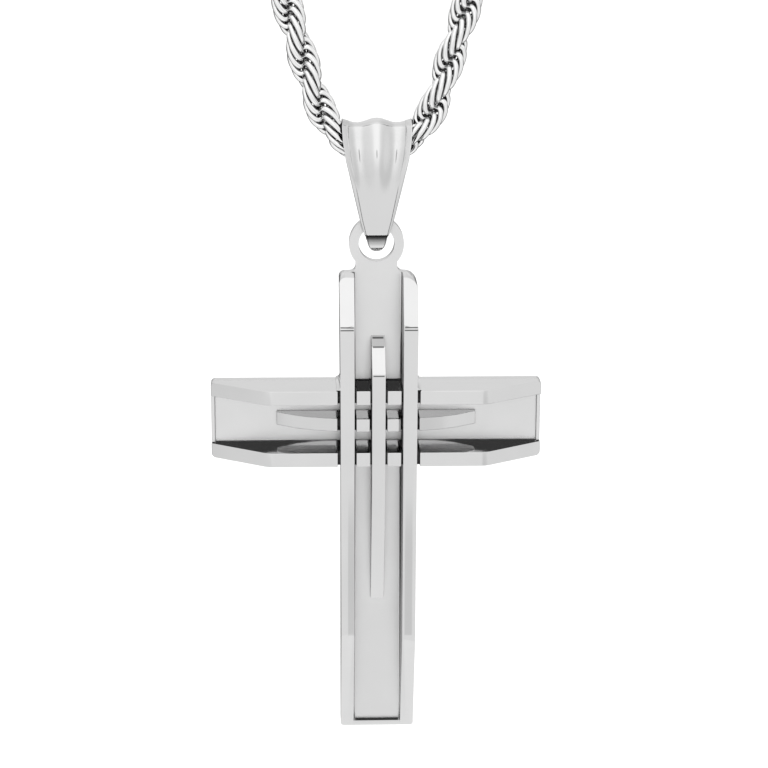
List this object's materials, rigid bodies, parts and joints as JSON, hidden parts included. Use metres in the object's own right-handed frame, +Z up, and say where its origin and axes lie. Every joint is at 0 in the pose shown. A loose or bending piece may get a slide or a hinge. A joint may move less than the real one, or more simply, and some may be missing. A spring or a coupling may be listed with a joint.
{
  "type": "cross pendant on a rope chain",
  "caption": "Layered steel cross pendant with railed arms, an arched rib and a ring eye, hanging from a fluted tapered bail on a closed rope chain.",
  "frame": {"origin": "where the necklace hangs at the nape of the neck: the underside of the end caps and the clasp's level, in the middle", "axes": "+Z up along the hanging necklace, -Y the front of the cross, +X to the right seen from the front"},
  "size_m": [0.1206, 0.0074, 0.3241],
  "materials": {
    "cross_steel": "polished steel with a faint satin grain on the floors",
    "chain_steel": "bright polished steel wire"
  },
  "bodies": {
    "necklace": {"rope_chain": "chain_steel", "end_cap_left": "chain_steel", "end_cap_right": "chain_steel", "jump_ring_left": "chain_steel", "jump_ring_right": "chain_steel", "clasp": "chain_steel"},
    "bail": {"bail": "cross_steel"},
    "cross": {"upright": "cross_steel", "crossbar": "cross_steel"}
  },
  "joints": [
    {"name": "bail_swing", "type": "hinge", "parent": "necklace", "child": "bail", "pos_m": [0, 0, -0.26], "axis": [1, 0, 0], "range_deg": [-70, 70]},
    {"name": "cross_swing", "type": "hinge", "parent": "bail", "child": "cross", "pos_m": [0, 0, -0.2676], "axis": [1, 0, 0], "range_deg": [-45, 45]}
  ]
}
